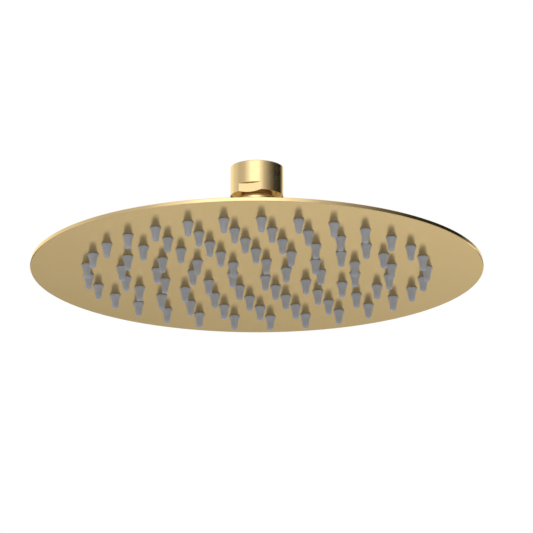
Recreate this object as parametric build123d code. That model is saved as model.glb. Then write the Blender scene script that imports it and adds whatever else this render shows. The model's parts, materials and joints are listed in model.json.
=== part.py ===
from build123d import *
import os
from math import acos, asin, cos, degrees, radians, sin, sqrt, tan

# Slim round rain shower head on a ball joint, in millimetres.
# The origin is the centre of the inlet mouth, +Z points up along the inlet thread,
# and the spray face looks down.

# Spray disc: two sheets, face to face along a flat seam at the rim
disc_diameter = 200.0
sheet_thickness = 0.9
sheet_edge_break = 0.2
seam_width = 13.0
chamber_height = 4.0
chamber_slope = 16.5
bend_radius = 4.0

# Nozzles: silicone jets in rings, each ring starting on the +Y row. A jet flares from its waist to its base
nozzle_base_diameter = 5.0
nozzle_waist_diameter = 3.5
nozzle_waist_drop = 2.4
nozzle_tip_diameter = 2.5
nozzle_length = 6.0
nozzle_bore_diameter = 1.2
nozzle_plug_diameter = 4.0
nozzle_flange_diameter = 5.8
nozzle_flange_thickness = 0.8
port_clearance = 0.05
ring_count = 5
first_ring_radius = 13.0
last_ring_margin = 25.0
first_ring_nozzles = 5
nozzles_added_per_ring = 6
first_nozzle_angle = 90.0

# Inlet collar of the swivel connector, for a half-inch pipe thread
thread_radius = 10.48
thread_depth = 7.0
collar_radius = 11.72
collar_length = 14.9
collar_chamfer_width = 2.1
collar_chamfer_height = 1.4
mouth_edge_break = 0.3
collar_flat_distance = 10.53
collar_flat_depth = 10.0
washer_seat_radius = 10.0
washer_seat_depth = 3.0
regulator_bore_radius = 7.0
regulator_bore_depth = 4.5

# Neck and ball of the swivel connector
neck_radius = 8.5
collar_to_ball_centre = 15.8
ball_radius = 12.0
ball_outlet_radius = 7.9
water_bore_radius = 5.0

# Two seat rings round the ball, between it and the cup, as angles down from the upright axis
seat_clearance = 0.05
seat_thickness = 1.15
upper_seat_neck_angle = 0.9
upper_seat_end = 70.0
lower_seat_start = 108.0
lower_seat_end = 132.0

# Ball socket, standing on the back plate with its spigot through it
socket_wall = 1.95
socket_top_drop = 1.3
socket_outlet_radius = 7.4
socket_flange_radius = 19.0
socket_flange_thickness = 2.0
cup_sink = 0.7
spigot_radius = 12.0
spigot_reach = 1.0
spigot_clearance = 0.05

# Ball nut, screwed down over the socket
nut_wall = 2.25
nut_thread_clearance = 0.05
nut_lip_angle = 60.3
nut_lip_height = 1.4
nut_lip_flare = 1.0
nut_crown_radius = 3.5
nut_base_chamfer = 0.5
nut_base_gap = 0.3
nut_flat_depth = 0.8
nut_flat_height = 6.0

# Inlet fittings, stacked inside the collar
strainer_thickness = 0.4
washer_thickness = 2.4
washer_bore_radius = 6.0
inlet_clearance = 0.1
regulator_post_radius = 2.2
regulator_groove_width = 2.8
regulator_groove_depth = 2.6
regulator_port_count = 6
regulator_port_radius = 0.9
ring_side_clearance = 0.2
ring_thickness = 1.6

# Heights that follow from the sizes above
disc_radius = disc_diameter / 2
ring_spacing = (disc_radius - last_ring_margin - first_ring_radius) / (ring_count - 1)
collar_underside_z = -collar_length
ball_z = collar_underside_z - collar_to_ball_centre
neck_angle = degrees(asin(neck_radius / ball_radius))
upper_seat_start = neck_angle + upper_seat_neck_angle
seat_inner_radius = ball_radius + seat_clearance
seat_outer_radius = seat_inner_radius + seat_thickness
cup_radius = seat_outer_radius + seat_clearance
cup_depth = sqrt(cup_radius**2 - socket_outlet_radius**2)
plateau_z = ball_z - cup_depth + cup_sink
chamber_top_z = plateau_z - sheet_thickness
seam_z = chamber_top_z - chamber_height
face_z = seam_z - sheet_thickness
washer_seat_z = -(thread_depth + washer_seat_depth)
regulator_seat_z = washer_seat_z - regulator_bore_depth
socket_radius = cup_radius + socket_wall
socket_top_z = ball_z - socket_top_drop
socket_flange_top_z = plateau_z + socket_flange_thickness
nut_inner_radius = socket_radius + nut_thread_clearance
nut_radius = nut_inner_radius + nut_wall
nut_base_z = socket_flange_top_z + nut_base_gap


def turned(*edges):
    """Solid of revolution about the Z axis, from a closed outline of (radius, height) edges."""
    outline = Plane.XZ * make_face(Wire(list(edges)))
    return revolve(outline, Axis.Z)


def turned_polygon(*corners):
    """Solid of revolution from a straight-sided outline of (radius, height) corners."""
    return turned(*Polyline(*corners, close=True).edges())


def sphere_point(radius, angle_from_top):
    """Point of a sphere about the ball's centre, as (radius from the axis, height)."""
    angle = radians(angle_from_top)
    return (radius * sin(angle), ball_z + radius * cos(angle))


def sphere_arc(radius, start_angle, end_angle):
    """Arc of a sphere about the ball's centre, between two angles down from the upright axis."""
    middle_angle = (start_angle + end_angle) / 2
    return ThreePointArc(
        sphere_point(radius, start_angle),
        sphere_point(radius, middle_angle),
        sphere_point(radius, end_angle),
    )


def wrench_flats(radius, distance, low_z, high_z):
    """Pair of cutters that leave two flats, across Y, at a distance from the axis."""
    height = high_z - low_z
    cutter = Box(2 * radius, radius, height)
    middle_z = (low_z + high_z) / 2
    middle_y = distance + radius / 2
    return [Pos(0, side * middle_y, middle_z) * cutter for side in (-1, 1)]


def make_swivel_connector():
    """Collar, neck and ball, turned from one bar, with a stepped water way through it."""
    outlet_angle = 180 - degrees(asin(ball_outlet_radius / ball_radius))
    ball = sphere_arc(ball_radius, neck_angle, outlet_angle)
    collar_side = Polyline(
        (thread_radius, 0),
        (collar_radius - mouth_edge_break, 0),
        (collar_radius, -mouth_edge_break),
        (collar_radius, collar_underside_z + collar_chamfer_height),
        (collar_radius - collar_chamfer_width, collar_underside_z),
        (neck_radius, collar_underside_z),
        sphere_point(ball_radius, neck_angle),
    )
    outlet_z = sphere_point(ball_radius, outlet_angle)[1]
    water_way = Polyline(
        sphere_point(ball_radius, outlet_angle),
        (water_bore_radius, outlet_z),
        (water_bore_radius, regulator_seat_z),
        (regulator_bore_radius, regulator_seat_z),
        (regulator_bore_radius, washer_seat_z),
        (washer_seat_radius, washer_seat_z),
        (washer_seat_radius, -thread_depth),
        (thread_radius, -thread_depth),
        (thread_radius, 0),
    )
    body = turned(*collar_side.edges(), ball, *water_way.edges())
    flats = wrench_flats(
        collar_radius,
        collar_flat_distance,
        collar_underside_z - collar_chamfer_height,
        -collar_flat_depth,
    )
    return body - flats


def make_inlet_strainer():
    """Fine steel gauze disc on the collar's inner ledge."""
    radius = washer_seat_radius - inlet_clearance
    return Pos(0, 0, washer_seat_z + strainer_thickness / 2) * Cylinder(radius, strainer_thickness)


def make_inlet_washer():
    """Flat rubber washer on the strainer, which the pipe's end squeezes."""
    low_z = washer_seat_z + strainer_thickness
    high_z = low_z + washer_thickness
    radius = washer_seat_radius - inlet_clearance
    return turned_polygon(
        (washer_bore_radius, low_z),
        (radius, low_z),
        (radius, high_z),
        (washer_bore_radius, high_z),
    )


def make_flow_regulator():
    """Moulded puck with a post, a groove round it for the elastic ring, and ports through its floor."""
    top_z = washer_seat_z - inlet_clearance
    groove_z = top_z - regulator_groove_depth
    groove_radius = regulator_post_radius + regulator_groove_width
    radius = regulator_bore_radius - inlet_clearance
    puck = turned_polygon(
        (0, regulator_seat_z),
        (radius, regulator_seat_z),
        (radius, top_z),
        (groove_radius, top_z),
        (groove_radius, groove_z),
        (regulator_post_radius, groove_z),
        (regulator_post_radius, top_z),
        (0, top_z),
    )
    port_circle = regulator_post_radius + regulator_groove_width / 2
    floor_thickness = groove_z - regulator_seat_z
    port_z = regulator_seat_z + floor_thickness / 2
    port = Pos(0, 0, port_z) * Cylinder(regulator_port_radius, floor_thickness)
    ports = [place * port for place in PolarLocations(port_circle, regulator_port_count)]
    return puck - ports


def make_flow_regulator_ring():
    """Elastic ring that lies in the regulator's groove."""
    low_z = washer_seat_z - inlet_clearance - regulator_groove_depth
    inner_radius = regulator_post_radius + ring_side_clearance
    outer_radius = regulator_post_radius + regulator_groove_width - ring_side_clearance
    return turned_polygon(
        (inner_radius, low_z),
        (outer_radius, low_z),
        (outer_radius, low_z + ring_thickness),
        (inner_radius, low_z + ring_thickness),
    )


def make_ball_seat(start_angle, end_angle):
    """Ring cut from a spherical shell, between the ball and the cup."""
    outside = sphere_arc(seat_outer_radius, start_angle, end_angle)
    inside = sphere_arc(seat_inner_radius, start_angle, end_angle)
    return turned(
        outside,
        Line(outside @ 1, inside @ 1),
        inside,
        Line(inside @ 0, outside @ 0),
    )


def make_ball_nut():
    """Round nut with a domed shoulder, whose inner lip keeps the ball down in its socket."""
    step_z = socket_top_z + seat_clearance
    step_angle = degrees(acos((step_z - ball_z) / cup_radius))
    lip = sphere_arc(cup_radius, nut_lip_angle, step_angle)
    lip_radius, lip_z = sphere_point(cup_radius, nut_lip_angle)
    top_z = lip_z + nut_lip_height
    crown_start = (nut_radius - nut_crown_radius, top_z)
    crown_end = (nut_radius, top_z - nut_crown_radius)
    crown = RadiusArc(crown_start, crown_end, nut_crown_radius)
    top = Polyline((lip_radius, lip_z), (lip_radius + nut_lip_flare, top_z), crown_start)
    outside = Polyline(
        crown_end,
        (nut_radius, nut_base_z + nut_base_chamfer),
        (nut_radius - nut_base_chamfer, nut_base_z),
        (nut_inner_radius, nut_base_z),
        (nut_inner_radius, step_z),
        sphere_point(cup_radius, step_angle),
    )
    body = turned(lip, *top.edges(), crown, *outside.edges())
    flats = wrench_flats(
        nut_radius,
        nut_radius - nut_flat_depth,
        nut_base_z - nut_base_chamfer,
        nut_base_z + nut_flat_height,
    )
    return body - flats


def make_ball_socket():
    """Cup for the ball and its seats, with a flange on the back plate and a spigot through it."""
    rim_angle = degrees(acos(-socket_top_drop / cup_radius))
    outlet_angle = 180 - degrees(asin(socket_outlet_radius / cup_radius))
    cup = sphere_arc(cup_radius, rim_angle, outlet_angle)
    spigot_end_z = chamber_top_z - spigot_reach
    outside = Polyline(
        sphere_point(cup_radius, outlet_angle),
        (socket_outlet_radius, spigot_end_z),
        (spigot_radius, spigot_end_z),
        (spigot_radius, plateau_z),
        (socket_flange_radius, plateau_z),
        (socket_flange_radius, socket_flange_top_z),
        (socket_radius, socket_flange_top_z),
        (socket_radius, socket_top_z),
        sphere_point(cup_radius, rim_angle),
    )
    return turned(cup, *outside.edges())


def make_back_plate():
    """Pressed sheet: a flat seam ring, a sloping wall and a flat plateau with the spigot's hole."""
    hole_radius = spigot_radius + spigot_clearance
    lower_corner = disc_radius - seam_width
    upper_corner = lower_corner - chamber_height / tan(radians(chamber_slope))
    sheet_offset = sheet_thickness * tan(radians(chamber_slope / 2))
    outer_bend_radius = bend_radius + sheet_thickness
    underside = FilletPolyline(
        (hole_radius, chamber_top_z),
        (upper_corner, chamber_top_z),
        (lower_corner, seam_z),
        (disc_radius, seam_z),
        radius=[bend_radius, outer_bend_radius],
    )
    upper_side = FilletPolyline(
        (disc_radius - sheet_edge_break, seam_z + sheet_thickness),
        (lower_corner + sheet_offset, seam_z + sheet_thickness),
        (upper_corner + sheet_offset, plateau_z),
        (hole_radius, plateau_z),
        radius=[bend_radius, outer_bend_radius],
    )
    rim = Polyline(
        (disc_radius, seam_z),
        (disc_radius, seam_z + sheet_thickness - sheet_edge_break),
        (disc_radius - sheet_edge_break, seam_z + sheet_thickness),
    )
    hole = Line((hole_radius, plateau_z), (hole_radius, chamber_top_z))
    return turned(*underside.edges(), *rim.edges(), *upper_side.edges(), hole)


def nozzle_places(ring):
    """Places of one ring's nozzles, the first on the +Y row."""
    count = first_ring_nozzles + ring * nozzles_added_per_ring
    radius = first_ring_radius + ring * ring_spacing
    return PolarLocations(radius, count, first_nozzle_angle)


def make_face_plate():
    """Flat round sheet with a port for each nozzle's plug."""
    sheet = turned_polygon(
        (0, face_z),
        (disc_radius - sheet_edge_break, face_z),
        (disc_radius, face_z + sheet_edge_break),
        (disc_radius, seam_z),
        (0, seam_z),
    )
    port_radius = nozzle_plug_diameter / 2 + port_clearance
    port = Pos(0, 0, face_z + sheet_thickness / 2) * Cylinder(port_radius, sheet_thickness)
    ports = [place * port for ring in range(ring_count) for place in nozzle_places(ring)]
    return sheet - ports


def make_nozzle_ring(ring):
    """One ring of separate nozzles: a flared jet, a plug in the port and a flange behind it, all bored."""
    bore_radius = nozzle_bore_diameter / 2
    plug_radius = nozzle_plug_diameter / 2
    flange_radius = nozzle_flange_diameter / 2
    flange_top_z = seam_z + nozzle_flange_thickness
    tip_z = face_z - nozzle_length
    nozzle = turned_polygon(
        (bore_radius, tip_z),
        (nozzle_tip_diameter / 2, tip_z),
        (nozzle_waist_diameter / 2, face_z - nozzle_waist_drop),
        (nozzle_base_diameter / 2, face_z),
        (plug_radius, face_z),
        (plug_radius, seam_z),
        (flange_radius, seam_z),
        (flange_radius, flange_top_z),
        (bore_radius, flange_top_z),
    )
    return Compound(children=[place * nozzle for place in nozzle_places(ring)])


nodes = {
    "swivel_connector": make_swivel_connector(),
    "inlet_strainer": make_inlet_strainer(),
    "inlet_washer": make_inlet_washer(),
    "flow_regulator": make_flow_regulator(),
    "flow_regulator_ring": make_flow_regulator_ring(),
    "upper_ball_seat": make_ball_seat(upper_seat_start, upper_seat_end),
    "lower_ball_seat": make_ball_seat(lower_seat_start, lower_seat_end),
    "ball_nut": make_ball_nut(),
    "ball_socket": make_ball_socket(),
    "back_plate": make_back_plate(),
    "face_plate": make_face_plate(),
}
for ring in range(ring_count):
    nodes[f"nozzle_ring_{ring + 1}"] = make_nozzle_ring(ring)

os.makedirs("parts", exist_ok=True)
for name, shape in nodes.items():
    export_step(shape, f"parts/{name}.step")
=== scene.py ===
import json
import math

import bmesh
import bpy
from mathutils import Matrix, Vector
from mathutils.geometry import interpolate_bezier


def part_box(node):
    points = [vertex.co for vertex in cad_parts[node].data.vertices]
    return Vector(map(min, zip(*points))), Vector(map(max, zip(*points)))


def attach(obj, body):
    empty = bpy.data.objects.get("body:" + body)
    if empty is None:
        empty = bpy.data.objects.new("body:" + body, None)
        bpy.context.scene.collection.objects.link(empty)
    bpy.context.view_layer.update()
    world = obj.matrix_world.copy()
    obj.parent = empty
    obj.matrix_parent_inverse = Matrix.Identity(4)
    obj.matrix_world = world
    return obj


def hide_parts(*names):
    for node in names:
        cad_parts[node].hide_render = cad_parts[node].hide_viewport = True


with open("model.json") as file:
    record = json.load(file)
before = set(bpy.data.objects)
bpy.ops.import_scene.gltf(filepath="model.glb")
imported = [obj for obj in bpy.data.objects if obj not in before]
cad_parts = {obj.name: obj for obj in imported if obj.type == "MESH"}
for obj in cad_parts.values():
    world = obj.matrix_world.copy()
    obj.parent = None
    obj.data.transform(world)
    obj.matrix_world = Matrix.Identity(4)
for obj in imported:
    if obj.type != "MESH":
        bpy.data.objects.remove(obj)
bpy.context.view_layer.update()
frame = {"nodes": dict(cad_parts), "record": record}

# Lengths are in metres and angles in degrees.
MM = 0.001

# The spray face, as the solids have it.
face_low, face_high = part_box("face_plate")
face_height = face_low.z
face_thickness = face_high.z - face_height
disc_radius = face_high.x

# The disc's ground rim: how far in from the edge its sharper gloss starts and is full, and its roughness.
RIM_FADE_START = 0.4 * MM
RIM_FADE_END = 0.1 * MM
RIM_ROUGHNESS_SHARE = 0.55

# Nozzles: rings of soft jets, each standing on the spray face.
RING_COUNT = 5
FIRST_RING_NOZZLES = 5
NOZZLES_ADDED_PER_RING = 6
FIRST_NOZZLE_ANGLE = 90.0

# One nozzle: the bend is the point that pulls its flare inwards between foot and tip.
NOZZLE_FLANGE_RADIUS = 2.9 * MM
NOZZLE_PLUG_RADIUS = 2.0 * MM
NOZZLE_BORE_RADIUS = 0.6 * MM
NOZZLE_FOOT_RADIUS = 2.5 * MM
NOZZLE_FOOT_THICKNESS = 0.2 * MM
NOZZLE_FOOT_ROUND = 0.06 * MM
NOZZLE_BEND_RADIUS = 1.7 * MM
NOZZLE_BEND_DROP = 2.3 * MM
NOZZLE_TIP_RADIUS = 1.26 * MM
NOZZLE_TIP_ROUND = 0.1 * MM
NOZZLE_MOUTH_RADIUS = 0.9 * MM
NOZZLE_MOUTH_DEPTH = 0.3 * MM
NOZZLE_FLARE_POINTS = 9
NOZZLE_SEGMENTS = 18
NOZZLE_SHARP_ANGLE = 50.0

# Half-inch pipe thread inside the collar. The ridge's root is bedded a little way into the wall.
THREAD_PITCH = 1.814 * MM
THREAD_CREST_RADIUS = 9.4 * MM
THREAD_CREST_WIDTH = 0.3 * MM
THREAD_ROOT_WIDTH = 1.45 * MM
THREAD_BED = 0.03 * MM
THREAD_END_GAP = 0.9 * MM
THREAD_SECTION_TURN = -90.0
THREAD_POINTS_PER_TURN = 40
THREAD_SHARP_ANGLE = 30.0

# Woven wire of the inlet strainer, drawn a little coarser than the real one so that it shows.
WIRE_PITCH = 0.9 * MM
WIRE_POINTS_PER_PITCH = 3.0
WIRE_SIDES = 5
WIRE_SHARP_ANGLE = 60.0

# Where the camera stands and what it aims at, fitted to the rim and the rings of nozzles.
CAMERA_AZIMUTH = 17.0
CAMERA_ELEVATION = -16.85
CAMERA_DISTANCE = 3.0
CAMERA_LENS = 459.6
CAMERA_SENSOR = 36.0
CAMERA_NEAR = 0.1
CAMERA_FAR = 60.0
AIM_RIGHT = 4.27 * MM
AIM_UP = 1.02 * MM

# The surround's strength as light on the pieces. For the eye and for the metal it is 1, which is white.
SURROUND_LIGHT = 0.92

# The studio wall, and its brightness at angles that run from the camera's direction to its right.
WALL_RADIUS = 1.7
WALL_LOW = 0.0
WALL_HIGH = 0.69
WALL_SEGMENTS = 96
WALL_LEVELS = [
    (-180, 1.4),
    (-140, 1.6),
    (-105, 1.15),
    (-80, 0.86),
    (-58, 0.92),
    (-40, 1.45),
    (-24, 2.3),
    (6, 2.3),
    (20, 1.45),
    (34, 0.8),
    (50, 0.44),
    (66, 0.18),
    (84, 0.04),
    (122, 0.02),
    (134, 0.3),
    (148, 1.15),
    (180, 1.4),
]

# The reflection card, its brightness from left to right, and the share of it at two heights.
CARD_DISTANCE = 2.6
CARD_HALF_WIDTH = 2.4
CARD_LOW = -1.75
CARD_HIGH = -0.12
CARD_REACH = 1.0
CARD_LEFT_LEVEL = 0.34
CARD_RIGHT_LEVEL = 1.12
CARD_FULL_HEIGHT = -1.05
CARD_DIM_HEIGHT = -0.63
CARD_FULL_SHARE = 1.9
CARD_DIM_SHARE = 0.1

# The floor's height, and how far it reaches each way.
FLOOR_HEIGHT = -2.1
FLOOR_REACH = 14.0

# A Mix node has sockets for every kind of data: these are the numbers of its colour sockets.
MIX_COLOUR_A = 6
MIX_COLOUR_B = 7
MIX_COLOUR_RESULT = 2

# Most values of a noise pattern lie between these two.
NOISE_LOW = 0.3
NOISE_HIGH = 0.7


# Turns an sRGB hex colour into the linear colour that a shader socket takes.
def linear(hex_colour, alpha=1.0):
    channels = []
    for start in (1, 3, 5):
        value = int(hex_colour[start:start + 2], 16) / 255
        if value <= 0.04045:
            channels.append(value / 12.92)
        else:
            channels.append(((value + 0.055) / 1.055) ** 2.4)
    return (*channels, alpha)


# Adds one node: plain values are set on its sockets, sockets of other nodes are linked to them.
def add(tree, kind, sockets=None, **settings):
    node = tree.nodes.new(kind)
    for name, value in settings.items():
        setattr(node, name, value)
    for name, value in (sockets or {}).items():
        socket = node.inputs[name]
        if isinstance(value, bpy.types.NodeSocket):
            tree.links.new(value, socket)
        else:
            socket.default_value = value
    return node


# A new material with an empty tree.
def empty_material(name):
    material = bpy.data.materials.new(name)
    material.use_nodes = True
    material.node_tree.nodes.clear()
    return material, material.node_tree


# Satin gold coating on metal. The grain left by the abrasive shows as fine streaks in the gloss, which
# spreads across the grain by the given share. The grain is drawn about four times as coarse as the real
# one, so that it shows in a picture of the whole head. The edge tint keeps the gold warm at a low angle.
# The disc's rim is ground finer than the sheet, so its gloss is sharper.
def satin_gold(name, grain_mm, roughness_low, roughness_high, bump_mm, spread):
    material, tree = empty_material(name)
    place = add(tree, "ShaderNodeTexCoord").outputs["Object"]
    stretch = [1 / (size * MM) for size in grain_mm]
    grain_place = add(tree, "ShaderNodeMapping", {"Vector": place, "Scale": stretch})
    grain = add(tree, "ShaderNodeTexNoise", {"Vector": grain_place.outputs[0], "Scale": 1.0, "Detail": 3.0})
    cloud_size = 35 * MM
    cloud = add(tree, "ShaderNodeTexNoise", {"Vector": place, "Scale": 1 / cloud_size, "Detail": 2.0})
    tone = add(tree, "ShaderNodeMix", {
        "Factor": cloud.outputs["Fac"],
        MIX_COLOUR_A: linear("#CBB282"),
        MIX_COLOUR_B: linear("#D0B787"),
    }, data_type="RGBA")
    gloss = add(tree, "ShaderNodeMapRange", {
        "Value": grain.outputs["Fac"],
        "From Min": NOISE_LOW,
        "From Max": NOISE_HIGH,
        "To Min": roughness_low,
        "To Max": roughness_high,
    })
    flat_place = add(tree, "ShaderNodeVectorMath", {0: place, 1: (1.0, 1.0, 0.0)}, operation="MULTIPLY")
    from_axis = add(tree, "ShaderNodeVectorMath", {0: flat_place.outputs[0]}, operation="LENGTH")
    rim_share = add(tree, "ShaderNodeMapRange", {
        "Value": from_axis.outputs["Value"],
        "From Min": disc_radius - RIM_FADE_START,
        "From Max": disc_radius - RIM_FADE_END,
        "To Min": 1.0,
        "To Max": RIM_ROUGHNESS_SHARE,
    })
    rim_gloss = add(tree, "ShaderNodeMath", {
        0: gloss.outputs[0],
        1: rim_share.outputs[0],
    }, operation="MULTIPLY")
    bump = add(tree, "ShaderNodeBump", {
        "Height": grain.outputs["Fac"],
        "Strength": 0.5,
        "Distance": bump_mm * MM,
    })
    across_grain = add(tree, "ShaderNodeVectorTransform", {
        "Vector": (1.0, 0.0, 0.0),
    }, vector_type="VECTOR", convert_from="OBJECT", convert_to="WORLD")
    shader = add(tree, "ShaderNodeBsdfPrincipled", {
        "Base Color": tone.outputs[MIX_COLOUR_RESULT],
        "Metallic": 1.0,
        "Roughness": rim_gloss.outputs[0],
        "Specular Tint": linear("#F3EAD3"),
        "Normal": bump.outputs[0],
        "Anisotropic": spread,
        "Tangent": across_grain.outputs[0],
    })
    add(tree, "ShaderNodeOutputMaterial", {"Surface": shader.outputs[0]})
    return material


# A moulded or turned plastic or rubber: one colour with faint clouds, and a fine skin from mould or tool.
def moulded(name, colours, cloud_mm, roughness, skin_mm, skin_depth_mm):
    material, tree = empty_material(name)
    place = add(tree, "ShaderNodeTexCoord").outputs["Object"]
    cloud = add(tree, "ShaderNodeTexNoise", {"Vector": place, "Scale": 1 / (cloud_mm * MM), "Detail": 3.0})
    skin = add(tree, "ShaderNodeTexNoise", {"Vector": place, "Scale": 1 / (skin_mm * MM), "Detail": 2.0})
    tone = add(tree, "ShaderNodeMix", {
        "Factor": cloud.outputs["Fac"],
        MIX_COLOUR_A: linear(colours[0]),
        MIX_COLOUR_B: linear(colours[1]),
    }, data_type="RGBA")
    roughness_change = 0.06
    gloss = add(tree, "ShaderNodeMapRange", {
        "Value": skin.outputs["Fac"],
        "To Min": roughness - roughness_change,
        "To Max": roughness + roughness_change,
    })
    bump = add(tree, "ShaderNodeBump", {
        "Height": skin.outputs["Fac"],
        "Strength": 0.4,
        "Distance": skin_depth_mm * MM,
    })
    shader = add(tree, "ShaderNodeBsdfPrincipled", {
        "Base Color": tone.outputs[MIX_COLOUR_RESULT],
        "Roughness": gloss.outputs[0],
        "Normal": bump.outputs[0],
    })
    add(tree, "ShaderNodeOutputMaterial", {"Surface": shader.outputs[0]})
    return material


# Drawn stainless wire: bright, with lines along the wire too fine to see and a slightly uneven gloss.
def drawn_wire(name):
    material, tree = empty_material(name)
    place = add(tree, "ShaderNodeTexCoord").outputs["Object"]
    patch_size = 0.6 * MM
    patch = add(tree, "ShaderNodeTexNoise", {"Vector": place, "Scale": 1 / patch_size, "Detail": 2.0})
    tone = add(tree, "ShaderNodeMix", {
        "Factor": patch.outputs["Fac"],
        MIX_COLOUR_A: linear("#B4B4B0"),
        MIX_COLOUR_B: linear("#CFCFCB"),
    }, data_type="RGBA")
    gloss = add(tree, "ShaderNodeMapRange", {"Value": patch.outputs["Fac"], "To Min": 0.2, "To Max": 0.4})
    shader = add(tree, "ShaderNodeBsdfPrincipled", {
        "Base Color": tone.outputs[MIX_COLOUR_RESULT],
        "Metallic": 1.0,
        "Roughness": gloss.outputs[0],
    })
    add(tree, "ShaderNodeOutputMaterial", {"Surface": shader.outputs[0]})
    return material


# Brushed sheet: long streaks along Y, and a soft gloss that is a little wider across them.
gold_sheet = satin_gold(
    "gold_coated_brushed_stainless_sheet",
    grain_mm=(0.6, 14.0, 0.6),
    roughness_low=0.21,
    roughness_high=0.25,
    bump_mm=0.0008,
    spread=0.3,
)
# Turned brass: fine rings round the axis, and a crisper gloss than the sheet's.
gold_brass = satin_gold(
    "gold_coated_turned_brass",
    grain_mm=(30.0, 30.0, 0.45),
    roughness_low=0.13,
    roughness_high=0.18,
    bump_mm=0.001,
    spread=0.0,
)
# Silicone: soft cool grey, even, with a dull sheen.
silicone = moulded(
    "moulded_grey_silicone",
    colours=("#9EA2AB", "#A6AAB3"),
    cloud_mm=3.0,
    roughness=0.5,
    skin_mm=0.5,
    skin_depth_mm=0.01,
)
# Rubber: nearly black and dull.
rubber = moulded(
    "moulded_black_rubber",
    colours=("#1B1B1C", "#232324"),
    cloud_mm=2.0,
    roughness=0.62,
    skin_mm=0.4,
    skin_depth_mm=0.01,
)
# Acetal: warm white with a low sheen.
white_acetal = moulded(
    "moulded_white_acetal",
    colours=("#E2E0D8", "#EAE8E1"),
    cloud_mm=4.0,
    roughness=0.35,
    skin_mm=0.6,
    skin_depth_mm=0.005,
)
# Bronze-filled PTFE: brown, mottled by the filler, and a little waxy.
seat_ptfe = moulded(
    "turned_bronze_filled_ptfe",
    colours=("#846339", "#9A784C"),
    cloud_mm=0.9,
    roughness=0.4,
    skin_mm=0.6,
    skin_depth_mm=0.005,
)
gauze_wire = drawn_wire("drawn_stainless_wire")


# Makes a scene object of a mesh, at the origin.
def place_piece(name, mesh):
    piece = bpy.data.objects.new(name, mesh)
    bpy.context.scene.collection.objects.link(piece)
    return piece


# A turned shape about Z, from a loop of (radius, height) points that stays off the axis.
def turned_mesh(name, loop, segments, sharp_angle):
    shape = bmesh.new()
    rows = []
    for radius, height in loop:
        row = []
        for step in range(segments):
            angle = 2 * math.pi * step / segments
            row.append(shape.verts.new((radius * math.cos(angle), radius * math.sin(angle), height)))
        rows.append(row)
    for upper, lower in zip(rows, rows[1:] + rows[:1]):
        for step in range(segments):
            following = (step + 1) % segments
            shape.faces.new((upper[step], lower[step], lower[following], upper[following]))
    bmesh.ops.recalc_face_normals(shape, faces=shape.faces)
    mesh = bpy.data.meshes.new(name)
    shape.to_mesh(mesh)
    shape.free()
    mesh.shade_smooth()
    mesh.set_sharp_from_angle(angle=math.radians(sharp_angle))
    return mesh


# A Geometry Nodes tree with named inputs, given as a dictionary of names and socket kinds.
def new_tree(name, inputs):
    tree = bpy.data.node_groups.new(name, "GeometryNodeTree")
    for label, kind in inputs.items():
        tree.interface.new_socket(name=label, in_out="INPUT", socket_type=kind)
    tree.interface.new_socket(name="Geometry", in_out="OUTPUT", socket_type="NodeSocketGeometry")
    given = tree.nodes.new("NodeGroupInput").outputs
    return tree, given


# Ends a tree: real geometry with its material.
def end_tree(tree, geometry, material):
    real = add(tree, "GeometryNodeRealizeInstances", {"Geometry": geometry})
    dressed = add(tree, "GeometryNodeSetMaterial", {"Geometry": real.outputs[0], "Material": material})
    add(tree, "NodeGroupOutput", {"Geometry": dressed.outputs[0]})


# Runs a tree with the given values and keeps its result as a plain mesh piece.
def piece_from_tree(name, tree, values, sharp_angle):
    carrier = place_piece(name + "_carrier", bpy.data.meshes.new(name + "_carrier"))
    modifier = carrier.modifiers.new("tree", "NODES")
    modifier.node_group = tree
    for item in tree.interface.items_tree:
        if item.in_out == "INPUT":
            modifier[item.identifier] = values[item.name]
    graph = bpy.context.evaluated_depsgraph_get()
    mesh = bpy.data.meshes.new_from_object(carrier.evaluated_get(graph), depsgraph=graph)
    mesh.name = name
    carrier.modifiers.remove(modifier)
    bpy.data.objects.remove(carrier)
    mesh.shade_smooth()
    mesh.set_sharp_from_angle(angle=math.radians(sharp_angle))
    return place_piece(name, mesh)


# One soft jet in its port, with the spray face at height 0: a flange and a plug above, then a thin foot,
# a taper that flares out to it, and a rounded tip with a countersunk mouth below, bored right through.
def nozzle_loop(length, sheet, flange_top):
    foot = Vector((NOZZLE_FOOT_RADIUS, -NOZZLE_FOOT_THICKNESS))
    bend = Vector((NOZZLE_BEND_RADIUS, -NOZZLE_BEND_DROP))
    tip = Vector((NOZZLE_TIP_RADIUS, NOZZLE_TIP_ROUND - length))
    flare = interpolate_bezier(foot, bend, bend, tip, NOZZLE_FLARE_POINTS)
    return [
        (NOZZLE_BORE_RADIUS, flange_top),
        (NOZZLE_FLANGE_RADIUS, flange_top),
        (NOZZLE_FLANGE_RADIUS, sheet),
        (NOZZLE_PLUG_RADIUS, sheet),
        (NOZZLE_PLUG_RADIUS, 0.0),
        (NOZZLE_FOOT_RADIUS - NOZZLE_FOOT_ROUND, 0.0),
        (NOZZLE_FOOT_RADIUS, -NOZZLE_FOOT_ROUND),
        *flare,
        (NOZZLE_TIP_RADIUS - NOZZLE_TIP_ROUND, -length),
        (NOZZLE_MOUTH_RADIUS, -length),
        (NOZZLE_BORE_RADIUS, NOZZLE_MOUTH_DEPTH - length),
    ]


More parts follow.
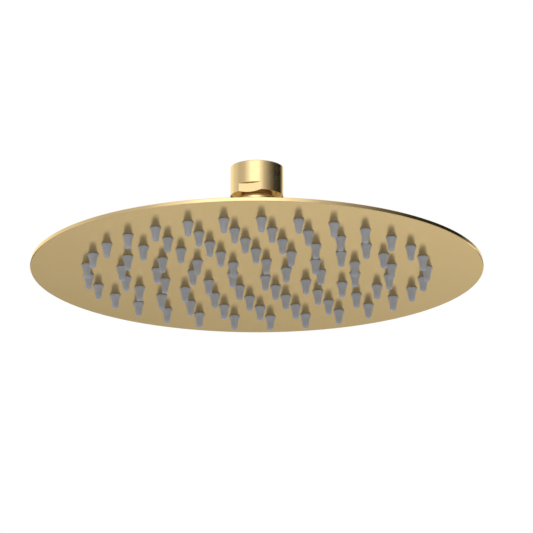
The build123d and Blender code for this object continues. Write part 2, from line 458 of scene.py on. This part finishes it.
# Rings of jets: each turn of the loop adds one ring, wider and with more jets than the last.
def nozzle_tree():
    tree, given = new_tree("rings_of_nozzles", {
        "Nozzle": "NodeSocketObject",
        "Rings": "NodeSocketInt",
        "First Radius": "NodeSocketFloat",
        "Ring Spacing": "NodeSocketFloat",
        "First Count": "NodeSocketInt",
        "Added Per Ring": "NodeSocketInt",
        "First Angle": "NodeSocketFloat",
        "Face Height": "NodeSocketFloat",
        "Silicone": "NodeSocketMaterial",
    })
    loop_start = tree.nodes.new("GeometryNodeRepeatInput")
    loop_end = tree.nodes.new("GeometryNodeRepeatOutput")
    loop_start.pair_with_output(loop_end)
    loop_end.repeat_items.new("FLOAT", "Ring Radius")
    loop_end.repeat_items.new("INT", "Ring Nozzles")
    tree.links.new(given["Rings"], loop_start.inputs["Iterations"])
    tree.links.new(given["First Radius"], loop_start.inputs["Ring Radius"])
    tree.links.new(given["First Count"], loop_start.inputs["Ring Nozzles"])
    ring_radius = loop_start.outputs["Ring Radius"]
    ring_nozzles = loop_start.outputs["Ring Nozzles"]
    ring = add(tree, "GeometryNodeMeshCircle", {"Vertices": ring_nozzles, "Radius": ring_radius})
    both = add(tree, "GeometryNodeJoinGeometry", {"Geometry": ring.outputs[0]})
    tree.links.new(loop_start.outputs["Geometry"], both.inputs[0])
    wider = add(tree, "ShaderNodeMath", {0: ring_radius, 1: given["Ring Spacing"]})
    more = add(tree, "ShaderNodeMath", {0: ring_nozzles, 1: given["Added Per Ring"]})
    tree.links.new(both.outputs[0], loop_end.inputs["Geometry"])
    tree.links.new(wider.outputs[0], loop_end.inputs["Ring Radius"])
    tree.links.new(more.outputs[0], loop_end.inputs["Ring Nozzles"])
    turn = add(tree, "ShaderNodeCombineXYZ", {"Z": given["First Angle"]})
    lift = add(tree, "ShaderNodeCombineXYZ", {"Z": given["Face Height"]})
    rings = add(tree, "GeometryNodeTransform", {
        "Geometry": loop_end.outputs["Geometry"],
        "Translation": lift.outputs[0],
        "Rotation": turn.outputs[0],
    })
    nozzle = add(tree, "GeometryNodeObjectInfo", {"Object": given["Nozzle"]})
    jets = add(tree, "GeometryNodeInstanceOnPoints", {
        "Points": rings.outputs[0],
        "Instance": nozzle.outputs["Geometry"],
    })
    end_tree(tree, jets.outputs[0], given["Silicone"])
    return tree


# The jets of every ring, as one piece on the head.
def spray_nozzles():
    first_ring_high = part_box("nozzle_ring_1")[1]
    last_ring_low, last_ring_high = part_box("nozzle_ring_%d" % RING_COUNT)
    first_radius = first_ring_high.y - NOZZLE_FLANGE_RADIUS
    last_radius = last_ring_high.y - NOZZLE_FLANGE_RADIUS
    length = face_height - last_ring_low.z
    outline = nozzle_loop(length, face_thickness, first_ring_high.z - face_height)
    one_nozzle = turned_mesh("nozzle_pattern", outline, NOZZLE_SEGMENTS, NOZZLE_SHARP_ANGLE)
    pattern = place_piece("nozzle_pattern", one_nozzle)
    nozzles = piece_from_tree("spray_nozzles", nozzle_tree(), {
        "Nozzle": pattern,
        "Rings": RING_COUNT,
        "First Radius": first_radius,
        "Ring Spacing": (last_radius - first_radius) / (RING_COUNT - 1),
        "First Count": FIRST_RING_NOZZLES,
        "Added Per Ring": NOZZLES_ADDED_PER_RING,
        "First Angle": math.radians(FIRST_NOZZLE_ANGLE),
        "Face Height": face_height,
        "Silicone": silicone,
    }, NOZZLE_SHARP_ANGLE)
    bpy.data.objects.remove(pattern)
    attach(nozzles, "head")
    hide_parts(*["nozzle_ring_%d" % (ring + 1) for ring in range(RING_COUNT)])


# The ridge of a female pipe thread: a trapezium, its crest to the axis, carried along a right-hand helix.
def thread_tree():
    tree, given = new_tree("pipe_thread_ridge", {
        "Turns": "NodeSocketFloat",
        "Middle Radius": "NodeSocketFloat",
        "Helix Height": "NodeSocketFloat",
        "Lowest Height": "NodeSocketFloat",
        "Ridge Height": "NodeSocketFloat",
        "Root Width": "NodeSocketFloat",
        "Crest Width": "NodeSocketFloat",
        "Brass": "NodeSocketMaterial",
    })
    helix = add(tree, "GeometryNodeCurveSpiral", {
        "Resolution": THREAD_POINTS_PER_TURN,
        "Rotations": given["Turns"],
        "Start Radius": given["Middle Radius"],
        "End Radius": given["Middle Radius"],
        "Height": given["Helix Height"],
    })
    lift = add(tree, "ShaderNodeCombineXYZ", {"Z": given["Lowest Height"]})
    placed = add(tree, "GeometryNodeTransform", {
        "Geometry": helix.outputs[0],
        "Translation": lift.outputs[0],
    })
    upright = add(tree, "GeometryNodeSetCurveNormal", {"Curve": placed.outputs[0]}, mode="Z_UP")
    section = add(tree, "GeometryNodeCurvePrimitiveQuadrilateral", {
        "Bottom Width": given["Root Width"],
        "Top Width": given["Crest Width"],
        "Height": given["Ridge Height"],
        "Offset": 0.0,
    }, mode="TRAPEZOID")
    turned_section = add(tree, "GeometryNodeTransform", {
        "Geometry": section.outputs[0],
        "Rotation": (0.0, 0.0, math.radians(THREAD_SECTION_TURN)),
    })
    ridge = add(tree, "GeometryNodeCurveToMesh", {
        "Curve": upright.outputs[0],
        "Profile Curve": turned_section.outputs[0],
        "Fill Caps": True,
    })
    end_tree(tree, ridge.outputs[0], given["Brass"])
    return tree


# The thread inside the collar, as long and as wide as the inlet's mount.
def inlet_thread_ridge():
    inlet = frame["record"]["mounts"][0]["dims"]
    wall_radius = inlet["r_mm"] * MM
    thread_length = inlet["length_mm"] * MM
    helix_height = thread_length - 2 * THREAD_END_GAP
    ridge_height = wall_radius + THREAD_BED - THREAD_CREST_RADIUS
    thread = piece_from_tree("inlet_thread_ridge", thread_tree(), {
        "Turns": helix_height / THREAD_PITCH,
        "Middle Radius": wall_radius + THREAD_BED - ridge_height / 2,
        "Helix Height": helix_height,
        "Lowest Height": THREAD_END_GAP - thread_length,
        "Ridge Height": ridge_height,
        "Root Width": THREAD_ROOT_WIDTH,
        "Crest Width": THREAD_CREST_WIDTH,
        "Brass": gold_brass,
    }, THREAD_SHARP_ANGLE)
    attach(thread, "connector")


# Plain-woven gauze, cut round: straight wires one way and across, each bent over and under the others.
def gauze_tree():
    tree, given = new_tree("woven_gauze_disc", {
        "Disc Radius": "NodeSocketFloat",
        "Wires": "NodeSocketInt",
        "First Wire": "NodeSocketFloat",
        "Wire Pitch": "NodeSocketFloat",
        "Wire Radius": "NodeSocketFloat",
        "Height": "NodeSocketFloat",
        "Steel": "NodeSocketMaterial",
    })
    # A row of wires along X, each stretched from the middle to the disc's edge.
    first = add(tree, "ShaderNodeCombineXYZ", {"Y": given["First Wire"]})
    step = add(tree, "ShaderNodeCombineXYZ", {"Y": given["Wire Pitch"]})
    row = add(tree, "GeometryNodeMeshLine", {
        "Count": given["Wires"],
        "Start Location": first.outputs[0],
        "Offset": step.outputs[0],
    }, mode="OFFSET")
    straight = add(tree, "GeometryNodeCurvePrimitiveLine", {
        "Start": (-1.0, 0.0, 0.0),
        "End": (1.0, 0.0, 0.0),
    })
    place = add(tree, "GeometryNodeInputPosition").outputs[0]
    across = add(tree, "ShaderNodeSeparateXYZ", {"Vector": place})
    from_middle = add(tree, "ShaderNodeMath", {0: across.outputs["Y"], 1: 2.0}, operation="POWER")
    to_edge = add(tree, "ShaderNodeMath", {0: given["Disc Radius"], 1: 2.0}, operation="POWER")
    left_over = add(tree, "ShaderNodeMath", {
        0: to_edge.outputs[0],
        1: from_middle.outputs[0],
    }, operation="SUBTRACT")
    half_length = add(tree, "ShaderNodeMath", {0: left_over.outputs[0]}, operation="SQRT")
    stretch = add(tree, "ShaderNodeCombineXYZ", {"X": half_length.outputs[0], "Y": 1.0, "Z": 1.0})
    cut_wires = add(tree, "GeometryNodeInstanceOnPoints", {
        "Points": row.outputs[0],
        "Instance": straight.outputs[0],
        "Scale": stretch.outputs[0],
    })
    real_wires = add(tree, "GeometryNodeRealizeInstances", {"Geometry": cut_wires.outputs[0]})
    short_step = add(tree, "ShaderNodeMath", {
        0: given["Wire Pitch"],
        1: WIRE_POINTS_PER_PITCH,
    }, operation="DIVIDE")
    fine_wires = add(tree, "GeometryNodeResampleCurve", {
        "Curve": real_wires.outputs[0],
        "Length": short_step.outputs[0],
    }, mode="LENGTH")
    cross_wires = add(tree, "GeometryNodeTransform", {
        "Geometry": fine_wires.outputs[0],
        "Rotation": (0.0, 0.0, math.radians(90)),
    })
    # The weave: where wires along X rise, wires across them fall by as much.
    half_wave = add(tree, "ShaderNodeMath", {0: math.pi, 1: given["Wire Pitch"]}, operation="DIVIDE")
    phase = add(tree, "ShaderNodeVectorMath", {0: place, "Scale": half_wave.outputs[0]}, operation="SCALE")
    phases = add(tree, "ShaderNodeSeparateXYZ", {"Vector": phase.outputs[0]})
    wave_x = add(tree, "ShaderNodeMath", {0: phases.outputs["X"]}, operation="COSINE")
    wave_y = add(tree, "ShaderNodeMath", {0: phases.outputs["Y"]}, operation="COSINE")
    both_waves = add(tree, "ShaderNodeMath", {
        0: wave_x.outputs[0],
        1: wave_y.outputs[0],
    }, operation="MULTIPLY")
    rise = add(tree, "ShaderNodeMath", {
        0: both_waves.outputs[0],
        1: given["Wire Radius"],
    }, operation="MULTIPLY")
    fall = add(tree, "ShaderNodeMath", {0: rise.outputs[0], 1: -1.0}, operation="MULTIPLY")
    layers = []
    for wires, bend in ((fine_wires, rise), (cross_wires, fall)):
        height = add(tree, "ShaderNodeMath", {0: bend.outputs[0], 1: given["Height"]})
        shift = add(tree, "ShaderNodeCombineXYZ", {"Z": height.outputs[0]})
        layers.append(add(tree, "GeometryNodeSetPosition", {
            "Geometry": wires.outputs[0],
            "Offset": shift.outputs[0],
        }))
    weave = add(tree, "GeometryNodeJoinGeometry", {"Geometry": layers[0].outputs[0]})
    tree.links.new(layers[1].outputs[0], weave.inputs[0])
    section = add(tree, "GeometryNodeCurvePrimitiveCircle", {
        "Resolution": WIRE_SIDES,
        "Radius": given["Wire Radius"],
    })
    cloth = add(tree, "GeometryNodeCurveToMesh", {
        "Curve": weave.outputs[0],
        "Profile Curve": section.outputs[0],
        "Fill Caps": True,
    })
    end_tree(tree, cloth.outputs[0], given["Steel"])
    return tree


# The strainer's gauze, two wires thick at a crossing, in place of the plain disc.
def strainer_gauze():
    strainer_low, strainer_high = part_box("inlet_strainer")
    gauze_radius = strainer_high.x
    wires_each_side = int(gauze_radius / WIRE_PITCH)
    gauze = piece_from_tree("strainer_gauze", gauze_tree(), {
        "Disc Radius": gauze_radius,
        "Wires": 2 * wires_each_side + 1,
        "First Wire": -wires_each_side * WIRE_PITCH,
        "Wire Pitch": WIRE_PITCH,
        "Wire Radius": (strainer_high.z - strainer_low.z) / 4,
        "Height": (strainer_low.z + strainer_high.z) / 2,
        "Steel": gauze_wire,
    }, WIRE_SHARP_ANGLE)
    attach(gauze, "connector")
    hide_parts("inlet_strainer")


# Gives the solids that stay in the picture their finishes.
def finish_solids():
    finishes = {
        "face_plate": gold_sheet,
        "back_plate": gold_sheet,
        "swivel_connector": gold_brass,
        "ball_nut": gold_brass,
        "ball_socket": gold_brass,
        "upper_ball_seat": seat_ptfe,
        "lower_ball_seat": seat_ptfe,
        "inlet_washer": rubber,
        "flow_regulator": white_acetal,
        "flow_regulator_ring": rubber,
    }
    for node_name, finish in finishes.items():
        materials = frame["nodes"][node_name].data.materials
        materials.clear()
        materials.append(finish)


# Directions of the picture: from the head to the camera, and right and up across the picture.
azimuth = math.radians(CAMERA_AZIMUTH)
elevation = math.radians(CAMERA_ELEVATION)
to_camera = Vector((
    math.sin(azimuth) * math.cos(elevation),
    -math.cos(azimuth) * math.cos(elevation),
    math.sin(elevation),
))
right = Vector((math.cos(azimuth), math.sin(azimuth), 0.0))
up = to_camera.cross(right)


# The camera looks up at the spray face from a little to the right of the wrench flat.
def aim_camera():
    camera_data = bpy.data.cameras.new("camera")
    camera_data.lens = CAMERA_LENS
    camera_data.sensor_width = CAMERA_SENSOR
    camera_data.clip_start = CAMERA_NEAR
    camera_data.clip_end = CAMERA_FAR
    camera = bpy.data.objects.new("camera", camera_data)
    bpy.context.scene.collection.objects.link(camera)
    aim = Vector((0.0, 0.0, face_height)) + right * AIM_RIGHT + up * AIM_UP
    turn = Matrix((right, up, to_camera)).transposed().to_4x4()
    camera.matrix_world = Matrix.Translation(aim + to_camera * CAMERA_DISTANCE) @ turn
    bpy.context.scene.camera = camera


# White surround: as bright as white for the eye and for the metal, softer as light on the pieces.
def white_surround():
    world = bpy.data.worlds.new("white_surround")
    bpy.context.scene.world = world
    world.use_nodes = True
    tree = world.node_tree
    tree.nodes.clear()
    rays = add(tree, "ShaderNodeLightPath")
    seen = add(tree, "ShaderNodeMath", {
        0: rays.outputs["Is Camera Ray"],
        1: rays.outputs["Is Glossy Ray"],
    }, operation="MAXIMUM")
    seen_through = add(tree, "ShaderNodeMath", {
        0: seen.outputs[0],
        1: rays.outputs["Is Transmission Ray"],
    }, operation="MAXIMUM")
    level = add(tree, "ShaderNodeMapRange", {
        "Value": seen_through.outputs[0],
        "To Min": SURROUND_LIGHT,
        "To Max": 1.0,
    })
    surround = add(tree, "ShaderNodeBackground", {
        "Color": (1.0, 1.0, 1.0, 1.0),
        "Strength": level.outputs[0],
    })
    add(tree, "ShaderNodeOutputWorld", {"Surface": surround.outputs[0]})


# A piece of the stage, which is no part of the object.
def stage_mesh(name, corners, faces, material):
    mesh = bpy.data.meshes.new(name)
    mesh.from_pydata(corners, [], faces)
    mesh.materials.append(material)
    piece = place_piece(name, mesh)
    return piece


# A round studio wall of lit cloth about the head. Its brightness changes smoothly with the direction, from
# a wide soft light behind the camera to a dark flag on the right, so that round metal shows soft bands.
def studio_wall():
    material, tree = empty_material("lit_studio_cloth")
    place = add(tree, "ShaderNodeTexCoord").outputs["Object"]
    facing = add(tree, "ShaderNodeMapping", {
        "Vector": place,
        "Rotation": (0.0, 0.0, math.radians(90.0 - CAMERA_AZIMUTH)),
    })
    direction = add(tree, "ShaderNodeTexGradient", {"Vector": facing.outputs[0]}, gradient_type="RADIAL")
    levels = add(tree, "ShaderNodeValToRGB", {"Fac": direction.outputs["Fac"]})
    levels.color_ramp.interpolation = "EASE"
    stops = levels.color_ramp.elements
    while len(stops) > 1:
        stops.remove(stops[-1])
    brightest = max(level for angle, level in WALL_LEVELS)
    for angle, level in WALL_LEVELS:
        share = level / brightest
        stop = stops.new(0.5 + angle / 360)
        stop.color = (share, share, share, 1.0)
    stops.remove(stops[0])
    light = add(tree, "ShaderNodeEmission", {"Color": levels.outputs["Color"], "Strength": brightest})
    add(tree, "ShaderNodeOutputMaterial", {"Surface": light.outputs[0]})
    corners = []
    faces = []
    for step in range(WALL_SEGMENTS):
        angle = 2 * math.pi * step / WALL_SEGMENTS
        for height in (WALL_LOW, WALL_HIGH):
            corners.append((WALL_RADIUS * math.cos(angle), WALL_RADIUS * math.sin(angle), height))
        low = 2 * step
        next_low = 2 * ((step + 1) % WALL_SEGMENTS)
        faces.append((low, low + 1, next_low + 1, next_low))
    wall = stage_mesh("studio_wall", corners, faces, material)
    wall.visible_camera = False


# A lit card behind the head, below the horizon, which shows only in gloss. It is darker on the left and
# towards its top, so that the spray face has a soft fall of light along it and across it.
def reflection_card():
    material, tree = empty_material("lit_reflection_card")
    place = add(tree, "ShaderNodeTexCoord").outputs["Object"]
    across = add(tree, "ShaderNodeVectorMath", {0: place, 1: right}, operation="DOT_PRODUCT")
    level = add(tree, "ShaderNodeMapRange", {
        "Value": across.outputs["Value"],
        "From Min": -CARD_REACH,
        "From Max": CARD_REACH,
        "To Min": CARD_LEFT_LEVEL,
        "To Max": CARD_RIGHT_LEVEL,
    })
    upwards = add(tree, "ShaderNodeSeparateXYZ", {"Vector": place})
    share = add(tree, "ShaderNodeMapRange", {
        "Value": upwards.outputs["Z"],
        "From Min": CARD_FULL_HEIGHT,
        "From Max": CARD_DIM_HEIGHT,
        "To Min": CARD_FULL_SHARE,
        "To Max": CARD_DIM_SHARE,
    })
    strength = add(tree, "ShaderNodeMath", {0: level.outputs[0], 1: share.outputs[0]}, operation="MULTIPLY")
    light = add(tree, "ShaderNodeEmission", {"Strength": strength.outputs[0]})
    add(tree, "ShaderNodeOutputMaterial", {"Surface": light.outputs[0]})
    away = Vector((-math.sin(azimuth), math.cos(azimuth), 0.0)) * CARD_DISTANCE
    corners = []
    for side, height in ((-1, CARD_LOW), (1, CARD_LOW), (1, CARD_HIGH), (-1, CARD_HIGH)):
        corners.append(away + right * side * CARD_HALF_WIDTH + Vector((0.0, 0.0, height)))
    card = stage_mesh("reflection_card", corners, [(0, 1, 2, 3)], material)
    card.visible_camera = False
    card.visible_diffuse = False
    card.visible_shadow = False


# Pale floor, which shows from above only, so that a camera below it still sees the spray face.
def pale_floor():
    material, tree = empty_material("pale_floor")
    surface = add(tree, "ShaderNodeBsdfPrincipled", {"Base Color": linear("#ECEBE9"), "Roughness": 0.9})
    clear = add(tree, "ShaderNodeBsdfTransparent")
    underside = add(tree, "ShaderNodeNewGeometry").outputs["Backfacing"]
    one_way = add(tree, "ShaderNodeMixShader", {0: underside, 1: surface.outputs[0], 2: clear.outputs[0]})
    add(tree, "ShaderNodeOutputMaterial", {"Surface": one_way.outputs[0]})
    corners = []
    for x_sign, y_sign in ((-1, -1), (1, -1), (1, 1), (-1, 1)):
        corners.append((x_sign * FLOOR_REACH, y_sign * FLOOR_REACH, FLOOR_HEIGHT))
    stage_mesh("pale_floor", corners, [(0, 1, 2, 3)], material)


spray_nozzles()
inlet_thread_ridge()
strainer_gauze()
finish_solids()
aim_camera()
white_surround()
studio_wall()
reflection_card()
pale_floor()

bpy.context.scene.view_settings.view_transform = "Standard"
